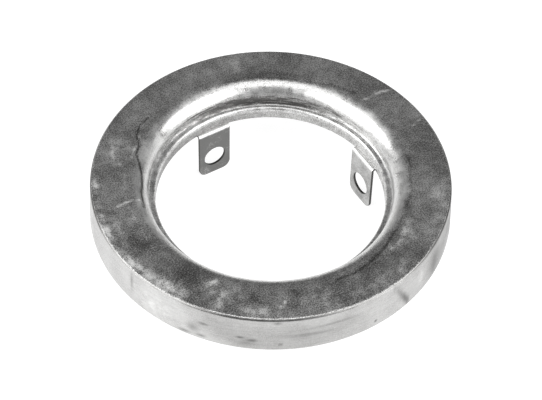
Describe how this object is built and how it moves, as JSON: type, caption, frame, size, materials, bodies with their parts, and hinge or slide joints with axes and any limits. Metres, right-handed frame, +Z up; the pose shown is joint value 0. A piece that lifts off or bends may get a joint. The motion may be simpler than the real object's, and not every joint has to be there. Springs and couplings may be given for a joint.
{
  "type": "toilet flange",
  "caption": "Pressed steel toilet flange ring with a rolled throat, a shallow outer skirt and bent fixing straps that reach down into the pipe opening.",
  "frame": {"origin": "middle of the ring at the level of the strap ends, which the flange stands on", "axes": "+Z up through the opening towards the face; the four straps lie on +X, +Y, -X and -Y"},
  "size_m": [0.18, 0.18, 0.048],
  "materials": {
    "plated_ring": "zinc-plated deep-drawn sheet, rubbed and slightly mottled",
    "plated_strap": "zinc-plated strip, satin",
    "weld_bead": "weld metal, rippled and plated over"
  },
  "bodies": {
    "root": {"flange_ring": "plated_ring", "right_tab": "plated_strap", "rear_tab": "plated_strap", "left_tab": "plated_strap", "front_tab": "plated_strap", "tab_welds": "weld_bead"}
  },
  "joints": []
}
